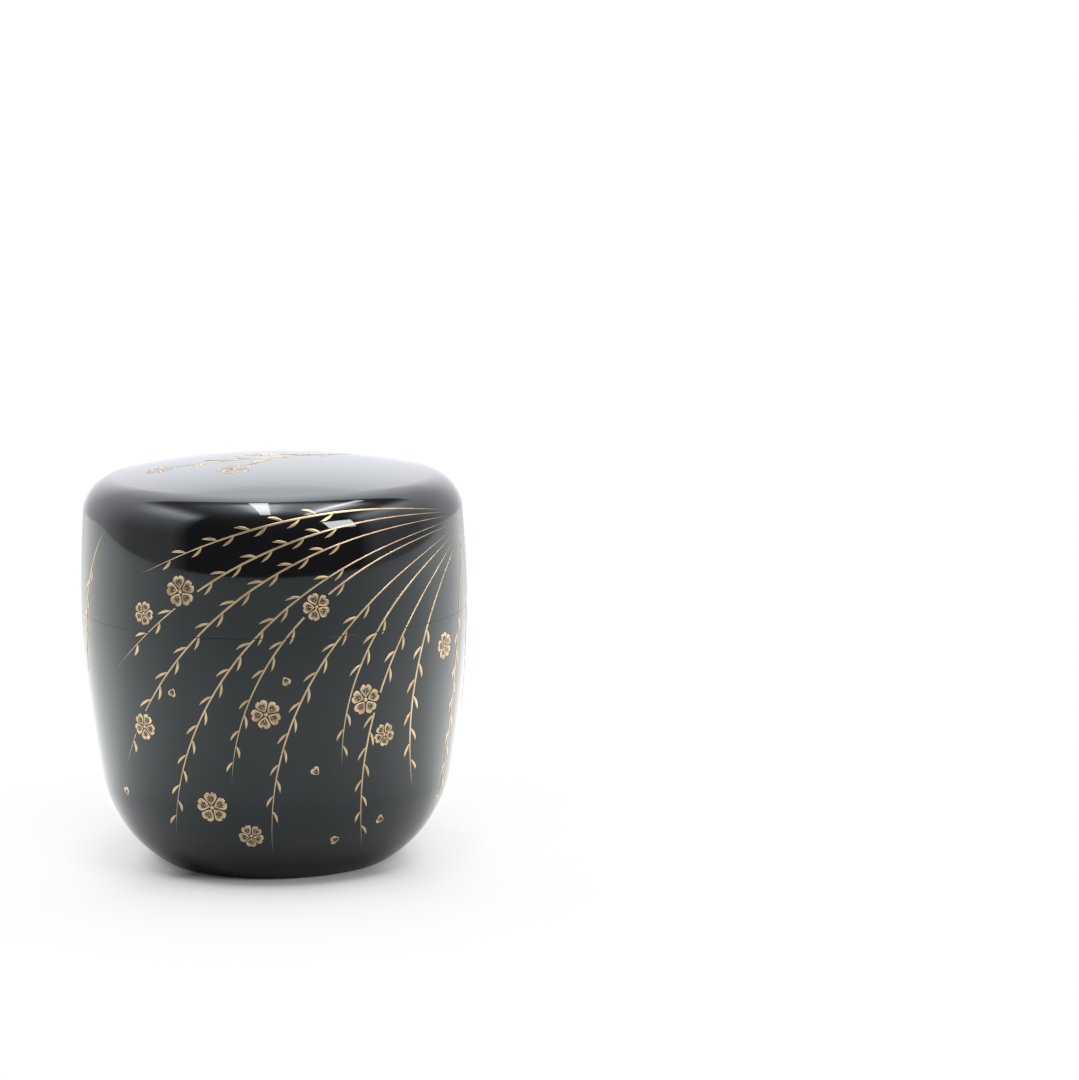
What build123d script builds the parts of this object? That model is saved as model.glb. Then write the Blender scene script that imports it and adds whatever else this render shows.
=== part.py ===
from build123d import *

import os
from math import asin, atan2, cos, hypot, pi, radians, sin, sqrt, tan

# A medium lacquer tea caddy: a turned wooden body and a lift-off lid in coats of black lacquer.
# Millimetres, +Z up, origin under the middle of the base, the front of the caddy towards -Y.

# Outside outline of the closed caddy: four arcs, each tangent to the next
height = 69.3
radius = 33.0
widest_height = 44.6
crown_radius = 131.0
shoulder_radius = 6.7
upper_side_radius = 215.0
lower_side_radius = 170.0
haunch_radius = 22.6
foot_inset = 13.2
foot_radius = radius - foot_inset

# Base
foot_ring_width = 2.2
recess_radius = foot_radius - foot_ring_width
recess_depth = 0.6
recess_round = 0.25
foot_round = 0.3

# Seam between body and lid
seam_drop = 0.9
seam_height = widest_height - seam_drop
seam_round = 0.06

# Inside of the body
side_thickness = 3.65
mouth_radius = radius - side_thickness
floor_thickness = 3.6
bowl_corner_radius = 18.0

# Collar at the body's mouth
collar_thickness = 1.4
collar_height = 8.0
collar_round = 0.4

# Inside of the lid
lid_clearance = 0.15
lid_top_thickness = 3.0
lid_corner_radius = 5.5
lid_rim_round = 0.2

# Lacquer, with its ground coats
outer_coat = 0.4
inner_coat = 0.25

# Gold design: strokes, leaves and petals that stand a little proud of the lacquer
gold_relief = 0.1
gold_seam_gap = 0.02
gold_foot_gap = 0.8
branch_width = 0.32
leaf_length = 2.8
leaf_width = 0.42
leaf_spacing = 2.8
leaf_curl = 0.2
leaf_angle = 24.0
blossom_gap = 0.3
leaf_gap = 0.5

# Weeping branches. Each is drawn as an arc on an upright plane that faces so many degrees to the right of
# the front, and carried back to the side of the caddy. It runs from its root, so many degrees round from
# the plane's middle and so far below the top, to its tip, so many degrees round and so high above the base.
# It bends by so many degrees, and leaves grow on it past a bare share of its length.
branches = [
    # facing, root angle, root drop, tip angle, tip height, bend, bare share
    (4, 56, 7.1, -46, 53.4, 48, 0.36),
    (4, 58, 7.7, -57, 37.0, 69, 0.30),
    (4, 60, 8.5, -58, 19.5, 86, 0.26),
    (4, 61, 9.3, -41, 9.0, 88, 0.26),
    (4, 62, 10.1, -18, 19.0, 84, 0.34),
    (4, 63, 11.1, -6, 6.0, 75, 0.28),
    (4, 63, 12.1, 16, 21.5, 63, 0.40),
    (4, 63, 13.3, 29, 5.2, 52, 0.30),
    (4, 63, 14.7, 44, 15.5, 39, 0.32),
    (80, -1, 8.3, -12, 7.0, 29, 0.34),
    (93, -1, 9.3, -7, 24.0, 28, 0.34),
    (107, 0, 7.8, -11, 12.0, 29, 0.32),
    (122, 0, 9.3, -6, 33.0, 28, 0.36),
    (-64, 4, 9.8, -12, 34.0, 44, 0.30),
]

# Blossoms and loose petals on the side: degrees to the right of the front, height, size and turn
blossoms = [
    (-28, 51.2, 2.6, 10),
    (-41, 46.9, 2.0, 50),
    (-43, 27.5, 2.3, 40),
    (-21, 14.5, 2.7, 5),
    (-9, 9.5, 2.1, 30),
    (-3, 31.0, 2.5, 25),
    (27, 32.5, 2.6, 0),
    (34, 26.0, 2.0, 40),
    (12, 48.8, 2.3, 20),
    (60, 39.0, 2.3, 12),
    (88, 33.5, 2.2, 30),
]
loose_petals = [
    (22, 8.5, 1.9, 200),
    (13, 20.0, 1.9, 130),
    (-31, 35.0, 1.8, 250),
    (38, 10.5, 1.9, 160),
    (-56, 14.0, 1.8, 100),
    (2, 37.5, 1.8, 300),
]

# Sprig on top of the lid, seen from above: strokes from root to tip with a bow, and blossoms
sprig_strokes = [
    ((13.0, 7.0), (-17.0, -3.5), -3.2, 0.5),
    ((5.0, 1.4), (-4.5, 2.0), 1.0, 0.42),
    ((0.3, -0.8), (-4.8, -8.2), -0.9, 0.42),
    ((-6.6, -2.8), (-11.8, -1.0), 0.5, 0.42),
]
sprig_leaves = [
    ((9.4, 4.1), (8.2, 1.1), -0.3, 0.55),
    ((7.8, 3.0), (4.8, 2.8), 0.3, 0.55),
    ((3.3, 0.5), (1.6, -2.0), -0.3, 0.55),
    ((-3.1, -2.0), (-6.2, -1.2), 0.3, 0.55),
    ((-11.1, -3.4), (-13.6, -5.0), -0.3, 0.55),
    ((-0.2, 2.7), (-2.4, 1.4), -0.3, 0.5),
    ((-4.4, 2.0), (-6.9, 1.3), 0.3, 0.55),
    ((-1.3, -4.6), (-3.7, -5.6), 0.3, 0.5),
]
sprig_blossoms = [
    ((-6.4, -10.6), 3.0, 20),
    ((-19.2, -4.0), 2.4, 55),
]

# What follows from the sizes above
floor_height = recess_depth + floor_thickness
collar_radius = mouth_radius + collar_thickness
collar_top = seam_height + collar_height
skirt_radius = collar_radius + lid_clearance

STEP_FOLDER = "parts"


def circle_crossing(centre_a, radius_a, centre_b, radius_b, side):
    """Where two circles cross, on the left (side 1) or right (-1) of the way from centre a to centre b."""
    across = centre_b[0] - centre_a[0]
    up = centre_b[1] - centre_a[1]
    apart = hypot(across, up)
    along = (radius_a**2 - radius_b**2 + apart**2) / (2 * apart)
    aside = side * sqrt(radius_a**2 - along**2)
    return (
        centre_a[0] + (along * across - aside * up) / apart,
        centre_a[1] + (along * up + aside * across) / apart,
    )


def beyond(centre_a, centre_b, distance):
    """The point on the line from centre a through centre b, at a distance from centre a."""
    scale = distance / hypot(centre_b[0] - centre_a[0], centre_b[1] - centre_a[1])
    return (
        centre_a[0] + (centre_b[0] - centre_a[0]) * scale,
        centre_a[1] + (centre_b[1] - centre_a[1]) * scale,
    )


def arc(centre, start, end):
    """The shorter arc about a centre between two points at the same distance from it."""
    first = atan2(start[1] - centre[1], start[0] - centre[0])
    turn = atan2(end[1] - centre[1], end[0] - centre[0]) - first
    turn = (turn + pi) % (2 * pi) - pi
    middle = first + turn / 2
    reach = hypot(start[0] - centre[0], start[1] - centre[1])
    return ThreePointArc(start, (centre[0] + reach * cos(middle), centre[1] + reach * sin(middle)), end)


# Centres of the outline's arcs, in (distance from the axis, height)
crown_centre = (0.0, height - crown_radius)
upper_side_centre = (radius - upper_side_radius, widest_height)
lower_side_centre = (radius - lower_side_radius, widest_height)
shoulder_centre = circle_crossing(
    crown_centre, crown_radius - shoulder_radius, upper_side_centre, upper_side_radius - shoulder_radius, -1
)
haunch_centre = circle_crossing(
    lower_side_centre, lower_side_radius - haunch_radius, (foot_radius, 0.0), haunch_radius, 1
)


def lower_side_at(level, inset):
    """Distance from the axis of the side below the widest height, moved in by an inset."""
    reach = lower_side_radius - inset
    return lower_side_centre[0] + sqrt(reach**2 - (level - lower_side_centre[1]) ** 2)


def haunch_at(level, inset):
    """Distance from the axis of the haunch, moved in by an inset."""
    reach = haunch_radius - inset
    return haunch_centre[0] + sqrt(reach**2 - (level - haunch_centre[1]) ** 2)


def body_outline(inset, bottom, top=seam_height):
    """The body's outside from a bottom level up to the seam or another level, moved in by an inset."""
    start = (haunch_at(bottom, inset), bottom)
    bend = beyond(lower_side_centre, haunch_centre, lower_side_radius - inset)
    end = (lower_side_at(top, inset), top)
    return [arc(haunch_centre, start, bend), arc(lower_side_centre, bend, end)]


def lid_outline(inset, bottom=seam_height):
    """The lid's outside from the seam or another level up to the crown's middle, moved in by an inset."""
    start = (lower_side_at(bottom, inset), bottom)
    widest = (radius - inset, widest_height)
    shoulder = beyond(upper_side_centre, shoulder_centre, upper_side_radius - inset)
    crown = beyond(crown_centre, shoulder_centre, crown_radius - inset)
    top = (0.0, height - inset)
    return [
        arc(lower_side_centre, start, widest),
        arc(upper_side_centre, widest, shoulder),
        arc(shoulder_centre, shoulder, crown),
        arc(crown_centre, crown, top),
    ]


def body_inside(growth):
    """The bowl from the middle of its floor up to the seam, made larger all round by a growth."""
    wall = mouth_radius + growth
    floor = floor_height - growth
    corner = bowl_corner_radius + growth
    corner_centre = (wall - corner, floor + corner)
    flat_end = (wall - corner, floor)
    wall_start = (wall, floor + corner)
    return [
        Line((0.0, floor), flat_end),
        arc(corner_centre, flat_end, wall_start),
        Line(wall_start, (wall, seam_height)),
    ]


def lid_inside(growth):
    """The inside of the lid from the seam up to the middle of the ceiling, made larger by a growth."""
    wall = skirt_radius + growth
    corner = lid_corner_radius + growth
    ceiling_radius = crown_radius - lid_top_thickness + growth
    corner_centre_radius = wall - corner
    corner_centre_height = crown_centre[1] + sqrt((ceiling_radius - corner) ** 2 - corner_centre_radius**2)
    corner_centre = (corner_centre_radius, corner_centre_height)
    wall_end = (wall, corner_centre_height)
    ceiling_start = beyond(crown_centre, corner_centre, ceiling_radius)
    return [
        Line((wall, seam_height), wall_end),
        arc(corner_centre, wall_end, ceiling_start),
        arc(crown_centre, ceiling_start, (0.0, crown_centre[1] + ceiling_radius)),
    ]


def section(*edges):
    """A closed half section in (distance from the axis, height), as a face in the XZ plane."""
    return Plane.XZ * make_face(Curve() + list(edges))


def turned(*edges):
    """The solid that a closed half section makes, turned about the axis."""
    return revolve(section(*edges), Axis.Z)


def end_of(edge):
    """An edge's last point in the section's own two measures."""
    return (edge @ 1).X, (edge @ 1).Y


def start_of(edge):
    """An edge's first point in the section's own two measures."""
    return (edge @ 0).X, (edge @ 0).Y


def rings(part, level, distance=None):
    """A turned solid's circular edges at one height, all of them or those at one distance from the axis."""
    found = part.edges().filter_by(GeomType.CIRCLE).filter_by_position(Axis.Z, level - 1e-4, level + 1e-4)
    found = [ring for ring in found if abs(ring.bounding_box().size.Z) < 1e-4]
    if distance is None:
        return found
    return [ring for ring in found if abs(ring.radius - distance) < 1e-4]


def make_body_outer_lacquer():
    """The coat outside the body, from the seam down and under the base."""
    skin = body_outline(0.0, 0.0)
    ground = body_outline(outer_coat, outer_coat)
    recess_ground = recess_radius + outer_coat
    underside = Polyline(
        (0.0, recess_depth),
        (recess_radius, recess_depth),
        (recess_radius, 0.0),
        start_of(skin[0]),
    )
    lip = Line(end_of(skin[1]), end_of(ground[1]))
    base_ground = Polyline(
        start_of(ground[0]),
        (recess_ground, outer_coat),
        (recess_ground, recess_depth + outer_coat),
        (0.0, recess_depth + outer_coat),
    )
    middle = Line((0.0, recess_depth + outer_coat), (0.0, recess_depth))
    coat = turned(underside, *skin, lip, *ground, base_ground, middle)
    coat = fillet(rings(coat, seam_height, lower_side_at(seam_height, 0.0)), seam_round)
    coat = fillet(rings(coat, 0.0, foot_radius), foot_round)
    coat = fillet(rings(coat, 0.0, recess_radius) + rings(coat, recess_depth, recess_radius), recess_round)
    return coat


def make_body_inner_lacquer():
    """The coat of the bowl, over the collar and out along the ledge that the lid stands on."""
    bowl = body_inside(0.0)
    bowl_ground = body_inside(inner_coat)
    ledge_edge = lower_side_at(seam_height - inner_coat, outer_coat)
    over_collar = Polyline(
        end_of(bowl[2]),
        (mouth_radius, collar_top),
        (collar_radius, collar_top),
        (collar_radius, seam_height),
        (lower_side_at(seam_height, outer_coat), seam_height),
    )
    ledge_end = arc(
        lower_side_centre,
        (lower_side_at(seam_height, outer_coat), seam_height),
        (ledge_edge, seam_height - inner_coat),
    )
    under_collar = Polyline(
        (ledge_edge, seam_height - inner_coat),
        (collar_radius - inner_coat, seam_height - inner_coat),
        (collar_radius - inner_coat, collar_top - inner_coat),
        (mouth_radius + inner_coat, collar_top - inner_coat),
        end_of(bowl_ground[2]),
    )
    middle = Line(start_of(bowl_ground[0]), start_of(bowl[0]))
    coat = turned(*bowl, over_collar, ledge_end, under_collar, *bowl_ground, middle)
    return fillet(rings(coat, collar_top), collar_round)


def make_body_wood_core():
    """The turned cup with its collar, bare wood between the two coats."""
    outside = body_outline(outer_coat, outer_coat)
    inside = body_inside(inner_coat)
    recess_ground = recess_radius + outer_coat
    base = Polyline(
        (0.0, recess_depth + outer_coat),
        (recess_ground, recess_depth + outer_coat),
        (recess_ground, outer_coat),
        start_of(outside[0]),
    )
    ledge = seam_height - inner_coat
    ledge_edge = (lower_side_at(ledge, outer_coat), ledge)
    side = arc(lower_side_centre, start_of(outside[1]), ledge_edge)
    collar = Polyline(
        ledge_edge,
        (collar_radius - inner_coat, ledge),
        (collar_radius - inner_coat, collar_top - inner_coat),
        (mouth_radius + inner_coat, collar_top - inner_coat),
        end_of(inside[2]),
    )
    middle = Line(start_of(inside[0]), (0.0, recess_depth + outer_coat))
    return turned(base, outside[0], side, collar, *inside, middle)


def make_lid_outer_lacquer():
    """The coat over the lid's side, shoulder and crown."""
    skin = lid_outline(0.0)
    ground = lid_outline(outer_coat)
    rim = Line(start_of(skin[0]), start_of(ground[0]))
    middle = Line(end_of(skin[3]), end_of(ground[3]))
    coat = turned(rim, *skin, middle, *ground)
    return fillet(rings(coat, seam_height, lower_side_at(seam_height, 0.0)), seam_round)


def make_lid_inner_lacquer():
    """The coat inside the lid and on the rim that stands on the ledge."""
    skin = lid_inside(0.0)
    ground = lid_inside(inner_coat)
    rim_level = seam_height + inner_coat
    rim_edge = (lower_side_at(rim_level, outer_coat), rim_level)
    rim = Polyline(
        start_of(skin[0]),
        (lower_side_at(seam_height, outer_coat), seam_height),
    )
    rim_side = arc(lower_side_centre, end_of(rim), rim_edge)
    rim_ground = Polyline(rim_edge, (skirt_radius + inner_coat, rim_level))
    wall_ground = Line((skirt_radius + inner_coat, rim_level), end_of(ground[0]))
    middle = Line(end_of(ground[2]), end_of(skin[2]))
    coat = turned(rim, rim_side, rim_ground, wall_ground, *ground[1:], middle, *skin)
    return fillet(rings(coat, seam_height, skirt_radius), lid_rim_round)


def make_lid_wood_core():
    """The turned cap, bare wood between its two coats."""
    outside = lid_outline(outer_coat)
    inside = lid_inside(inner_coat)
    rim_level = seam_height + inner_coat
    rim_edge = (lower_side_at(rim_level, outer_coat), rim_level)
    rim = Line((skirt_radius + inner_coat, rim_level), rim_edge)
    side = arc(lower_side_centre, rim_edge, end_of(outside[0]))
    middle = Line(end_of(outside[3]), end_of(inside[2]))
    wall = Line(end_of(inside[0]), (skirt_radius + inner_coat, rim_level))
    return turned(rim, side, *outside[1:], middle, *inside[1:], wall)


def side_at(level):
    """Distance from the axis of the closed caddy's outside at a level."""
    haunch_top = beyond(lower_side_centre, haunch_centre, lower_side_radius)[1]
    side_top = beyond(upper_side_centre, shoulder_centre, upper_side_radius)[1]
    shoulder_top = beyond(crown_centre, shoulder_centre, crown_radius)[1]
    if level < haunch_top:
        return haunch_at(level, 0.0)
    if level < widest_height:
        return lower_side_at(level, 0.0)
    if level < side_top:
        return upper_side_centre[0] + sqrt(upper_side_radius**2 - (level - widest_height) ** 2)
    if level < shoulder_top:
        return shoulder_centre[0] + sqrt(shoulder_radius**2 - (level - shoulder_centre[1]) ** 2)
    return sqrt(crown_radius**2 - (level - crown_centre[1]) ** 2)


def stroke(root, tip, bow, width):
    """A brush stroke pointed at both ends, which bows to the right of the way from root to tip."""
    chord = hypot(tip[0] - root[0], tip[1] - root[1])
    right = ((tip[1] - root[1]) / chord, (root[0] - tip[0]) / chord)
    middle = ((root[0] + tip[0]) / 2, (root[1] + tip[1]) / 2)
    sides = []
    for rise in (bow + width / 2, bow - width / 2):
        crest = (middle[0] + right[0] * rise, middle[1] + right[1] * rise)
        sides.append(ThreePointArc(root, crest, tip))
    return make_face(Curve() + sides)


def is_clear(facing, point):
    """Whether a point of the drawing plane that faces so many degrees lies clear of every blossom."""
    across, level = point
    away = side_at(level)
    bearing = radians(facing) + asin(max(-1.0, min(1.0, across / away)))
    for middle, middle_level, size, turn in blossoms:
        apart = bearing - radians(middle)
        if cos(apart) > 0 and hypot(away * sin(apart), level - middle_level) < size + leaf_gap:
            return False
    return True


def leafy_branch(facing, root, tip, bend, bare_share):
    """A branch with leaves on both sides by turns, drawn flat, with no leaf that touches a blossom."""
    chord = hypot(tip[0] - root[0], tip[1] - root[1])
    bow = chord / 2 * tan(radians(bend) / 4)
    right = ((tip[1] - root[1]) / chord, (root[0] - tip[0]) / chord)
    crest = ((root[0] + tip[0]) / 2 + right[0] * bow, (root[1] + tip[1]) / 2 + right[1] * bow)
    spine = ThreePointArc(root, crest, tip)
    strokes = [stroke(root, tip, bow, branch_width)]
    leaf_count = int((1 - bare_share) * spine.length / leaf_spacing)
    for index in range(leaf_count):
        share = bare_share + index * leaf_spacing / spine.length
        side = 1 if index % 2 == 0 else -1
        foot = spine @ share
        heading = spine % share
        direction = atan2(heading.Y, heading.X) + side * radians(leaf_angle)
        reach = leaf_length * (0.7 + 0.3 * sin(pi * share))
        leaf_foot = (foot.X, foot.Y)
        leaf_tip = (foot.X + reach * cos(direction), foot.Y + reach * sin(direction))
        if is_clear(facing, leaf_foot) and is_clear(facing, leaf_tip):
            strokes.append(stroke(leaf_foot, leaf_tip, -side * leaf_curl, leaf_width))
    return Sketch() + strokes


def petal(size):
    """A broad petal with a notch in its tip, drawn flat, that points along +X from a blossom's middle."""
    base = (0.17 * size, 0.0)
    notch = (0.86 * size, 0.0)
    edges = []
    for side in (1, -1):
        widest = (0.68 * size, side * 0.42 * size)
        tip = (0.985 * size, side * 0.09 * size)
        edges.append(ThreePointArc(base, (0.41 * size, side * 0.25 * size), widest))
        edges.append(ThreePointArc(widest, (0.91 * size, side * 0.325 * size), tip))
        edges.append(Line(tip, notch))
    return make_face(Curve() + edges)


def blossom(size, turn):
    """Five petals round a small disc, drawn flat about the origin."""
    shapes = [Rot(0, 0, 90 + turn + 72 * index) * petal(size) for index in range(5)]
    return Sketch() + [Circle(0.13 * size)] + shapes


def upright(facing):
    """The upright plane through the axis that faces so many degrees to the right of the front."""
    angle = radians(facing)
    return Plane(origin=(0, 0, 0), x_dir=(cos(angle), sin(angle), 0), z_dir=(sin(angle), -cos(angle), 0))


def outwards(facing, drawing):
    """A drawing on an upright plane, pushed out through the side of the caddy."""
    return extrude(upright(facing) * drawing, radius + 2 * gold_relief)


def make_branch_blocks():
    """Every branch, pushed out through the side."""
    blocks = []
    for facing, root_angle, root_drop, tip_angle, tip_height, bend, bare_share in branches:
        root_height = height - root_drop
        root = (side_at(root_height) * sin(radians(root_angle)), root_height)
        tip = (side_at(tip_height) * sin(radians(tip_angle)), tip_height)
        blocks.append(outwards(facing, leafy_branch(facing, root, tip, bend, bare_share)))
    return blocks


def make_blossom_blocks():
    """Every blossom and loose petal of the side, pushed out through it."""
    blocks = []
    for facing, level, size, turn in blossoms:
        blocks.append(outwards(facing, Pos(0, level) * blossom(size, turn)))
    for facing, level, size, turn in loose_petals:
        blocks.append(outwards(facing, Pos(0, level) * Rot(0, 0, turn) * petal(size)))
    return blocks


def make_bare_discs():
    """The lacquer left bare round each blossom of the side, pushed out through it."""
    discs = []
    for facing, level, size, turn in blossoms:
        discs.append(outwards(facing, Pos(0, level) * Circle(size + blossom_gap)))
    return discs


def make_body_gold_layer():
    """A layer of gold all over the body's side, from which the design is cut."""
    top = seam_height - seam_round - gold_seam_gap
    under = body_outline(0.0, gold_foot_gap, top)
    over = body_outline(-gold_relief, gold_foot_gap, top)
    return turned(
        *under, *over, Line(start_of(under[0]), start_of(over[0])), Line(end_of(under[1]), end_of(over[1]))
    )


def make_lid_gold_layer():
    """A layer of gold all over the lid, from which the design is cut."""
    bottom = seam_height + seam_round + gold_seam_gap
    under = lid_outline(0.0, bottom)
    over = lid_outline(-gold_relief, bottom)
    return turned(
        *under, *over, Line(start_of(under[0]), start_of(over[0])), Line(end_of(under[3]), end_of(over[3]))
    )


def cut_from(layer, blocks):
    """What lies in a layer of each of the blocks, as separate solids."""
    solids = []
    for block in blocks:
        common = block & layer
        if common:
            solids += common.solids()
    return Compound(children=solids)


def make_lid_top_gold_sprig(layer):
    """The sprig on top of the lid: a twig with side shoots, leaves and two blossoms."""
    bare = [Pos(*middle) * Circle(size + blossom_gap) for middle, size, turn in sprig_blossoms]
    twig = Sketch() + [stroke(*each) for each in sprig_strokes + sprig_leaves]
    flowers = [Pos(*middle) * blossom(size, turn) for middle, size, turn in sprig_blossoms]
    drawing = [twig - bare] + flowers
    blocks = [extrude(Plane.XY * each, height + 2 * gold_relief) for each in drawing]
    return cut_from(layer, blocks)


body_gold_layer = make_body_gold_layer()
lid_gold_layer = make_lid_gold_layer()
branch_blocks = make_branch_blocks()
blossom_blocks = make_blossom_blocks()
bare_discs = make_bare_discs()

nodes = {
    "body_wood_core": make_body_wood_core(),
    "body_outer_lacquer": make_body_outer_lacquer(),
    "body_inner_lacquer": make_body_inner_lacquer(),
    "lid_wood_core": make_lid_wood_core(),
    "lid_outer_lacquer": make_lid_outer_lacquer(),
    "lid_inner_lacquer": make_lid_inner_lacquer(),
    "body_gold_branches": cut_from(body_gold_layer - bare_discs, branch_blocks),
    "lid_gold_branches": cut_from(lid_gold_layer - bare_discs, branch_blocks),
    "body_gold_blossoms": cut_from(body_gold_layer, blossom_blocks),
    "lid_gold_blossoms": cut_from(lid_gold_layer, blossom_blocks),
    "lid_top_gold_sprig": make_lid_top_gold_sprig(lid_gold_layer),
}

os.makedirs(STEP_FOLDER, exist_ok=True)
for name, shape in nodes.items():
    export_step(shape, f"{STEP_FOLDER}/{name}.step")
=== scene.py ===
from functools import partial
from math import asin, atan2, ceil, cos, hypot, pi, radians, sin, sqrt, tan

import bmesh
import bpy
from mathutils import Matrix, Vector


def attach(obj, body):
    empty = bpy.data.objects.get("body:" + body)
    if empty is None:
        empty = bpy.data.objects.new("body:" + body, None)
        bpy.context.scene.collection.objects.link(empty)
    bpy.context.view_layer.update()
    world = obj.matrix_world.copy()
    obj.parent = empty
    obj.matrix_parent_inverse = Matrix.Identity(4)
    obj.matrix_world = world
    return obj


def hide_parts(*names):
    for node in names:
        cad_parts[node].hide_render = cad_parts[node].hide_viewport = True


# Looks of the lacquer tea caddy: fine turned coats, the raised gold design, the floor, the light and
# the camera. Sizes are in millimetres, as in the part's own source, and meshes are made in metres.
MM = 0.001
TINY = 1e-6

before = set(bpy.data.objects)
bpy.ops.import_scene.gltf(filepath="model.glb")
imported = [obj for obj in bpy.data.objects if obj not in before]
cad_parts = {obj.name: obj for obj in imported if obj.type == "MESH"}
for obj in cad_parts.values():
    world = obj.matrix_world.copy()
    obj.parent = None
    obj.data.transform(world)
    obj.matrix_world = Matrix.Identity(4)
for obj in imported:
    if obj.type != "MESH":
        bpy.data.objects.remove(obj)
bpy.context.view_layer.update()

# Outline
height = 69.3
radius = 33.0
widest_height = 44.6
crown_radius = 131.0
shoulder_radius = 6.7
upper_side_radius = 215.0
lower_side_radius = 170.0
haunch_radius = 22.6
foot_inset = 13.2
foot_radius = radius - foot_inset

# Base, seam, collar and inside
foot_ring_width = 2.2
recess_radius = foot_radius - foot_ring_width
recess_depth = 0.6
recess_round = 0.25
foot_round = 0.3
seam_drop = 0.9
seam_height = widest_height - seam_drop
seam_round = 0.06
side_thickness = 3.65
mouth_radius = radius - side_thickness
floor_thickness = 3.6
floor_height = recess_depth + floor_thickness
bowl_corner_radius = 18.0
collar_thickness = 1.4
collar_radius = mouth_radius + collar_thickness
collar_height = 8.0
collar_top = seam_height + collar_height
collar_round = 0.4
lid_clearance = 0.15
skirt_radius = collar_radius + lid_clearance
lid_top_thickness = 3.0
lid_corner_radius = 5.5
lid_rim_round = 0.2
outer_coat = 0.4
inner_coat = 0.25

# Fineness of the meshes: steps along lines in millimetres, turns and sharp corners in degrees
turned_segments = 320
coat_step = 0.7
ground_step = 2.0
small_arc_radius = 30.0
small_arc_turn = 1.5
corner_step = 0.05
corner_turn = 10.0
corner_lead = 0.03
stroke_step = 0.3
leaf_step = 0.2
stamen_step = 0.12
fewest_stroke_steps = 10
petal_steps = 10
spine_steps = 1000
coat_sharp_angle = 35
gold_sharp_angle = 60

# Gold design
gold_relief = 0.06
gold_depth = 0.02
gold_seam_gap = 0.02
branch_width = 0.32
leaf_length = 2.8
leaf_shortest = 0.7
leaf_width = 0.42
leaf_spacing = 2.8
leaf_curl = 0.2
leaf_angle = 24.0
blossom_gap = 0.3
leaf_gap = 0.5
sprig_powder = 0.45

# Weeping branches. Each is an arc on an upright plane that faces so many degrees to the right of the
# front, carried back to the side of the caddy. It runs from its root, so many degrees round from the
# plane's middle and so far below the top, to its tip, so many degrees round and so high above the base.
# It bends by so many degrees, and leaves grow on it past a bare share of its length.
branches = [
    # facing, root angle, root drop, tip angle, tip height, bend, bare share
    (4, 56, 7.1, -46, 53.4, 48, 0.36),
    (4, 58, 7.7, -57, 37.0, 69, 0.30),
    (4, 60, 8.5, -58, 19.5, 86, 0.26),
    (4, 61, 9.3, -41, 9.0, 88, 0.26),
    (4, 62, 10.1, -18, 19.0, 84, 0.34),
    (4, 63, 11.1, -6, 6.0, 75, 0.28),
    (4, 63, 12.1, 16, 21.5, 63, 0.40),
    (4, 63, 13.3, 29, 5.2, 52, 0.30),
    (4, 63, 14.7, 44, 15.5, 39, 0.32),
    (80, -1, 8.3, -12, 7.0, 29, 0.34),
    (93, -1, 9.3, -7, 24.0, 28, 0.34),
    (107, 0, 7.8, -11, 12.0, 29, 0.32),
    (122, 0, 9.3, -6, 33.0, 28, 0.36),
    (-64, 4, 9.8, -12, 34.0, 44, 0.30),
]

# Blossoms and loose petals on the side, and the sprig on top of the lid, seen from above
blossoms = [
    # facing, height, size, turn
    (-28, 51.2, 2.6, 10),
    (-41, 46.9, 2.0, 50),
    (-43, 27.5, 2.3, 40),
    (-21, 14.5, 2.7, 5),
    (-9, 9.5, 2.1, 30),
    (-3, 31.0, 2.5, 25),
    (27, 32.5, 2.6, 0),
    (34, 26.0, 2.0, 40),
    (12, 48.8, 2.3, 20),
    (60, 39.0, 2.3, 12),
    (88, 33.5, 2.2, 30),
]
loose_petals = [
    # facing, height, size, turn
    (22, 8.5, 1.9, 200),
    (13, 20.0, 1.9, 130),
    (-31, 35.0, 1.8, 250),
    (38, 10.5, 1.9, 160),
    (-56, 14.0, 1.8, 100),
    (2, 37.5, 1.8, 300),
]
sprig_strokes = [
    # root, tip, bow, width
    ((13.0, 7.0), (-17.0, -3.5), -3.2, 0.5),
    ((5.0, 1.4), (-4.5, 2.0), 1.0, 0.42),
    ((0.3, -0.8), (-4.8, -8.2), -0.9, 0.42),
    ((-6.6, -2.8), (-11.8, -1.0), 0.5, 0.42),
]
sprig_leaves = [
    # root, tip, bow, width
    ((9.4, 4.1), (8.2, 1.1), -0.3, 0.55),
    ((7.8, 3.0), (4.8, 2.8), 0.3, 0.55),
    ((3.3, 0.5), (1.6, -2.0), -0.3, 0.55),
    ((-3.1, -2.0), (-6.2, -1.2), 0.3, 0.55),
    ((-11.1, -3.4), (-13.6, -5.0), -0.3, 0.55),
    ((-0.2, 2.7), (-2.4, 1.4), -0.3, 0.5),
    ((-4.4, 2.0), (-6.9, 1.3), 0.3, 0.55),
    ((-1.3, -4.6), (-3.7, -5.6), 0.3, 0.5),
]
sprig_blossoms = [
    # middle, size, turn
    ((-6.4, -10.6), 3.0, 20),
    ((-19.2, -4.0), 2.4, 55),
]

# A stroke's section, in shares of its half width and of its relief, and how it thins towards its ends
stroke_section = [(-1.0, 0.0), (-0.9, 0.6), (-0.6, 0.94), (0.0, 1.0), (0.6, 0.94), (0.9, 0.6), (1.0, 0.0)]
stroke_end_width = 0.04
stroke_end_relief = 0.25
stroke_relief_gain = 1.5
stroke_bow_allowance = 1.15

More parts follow.
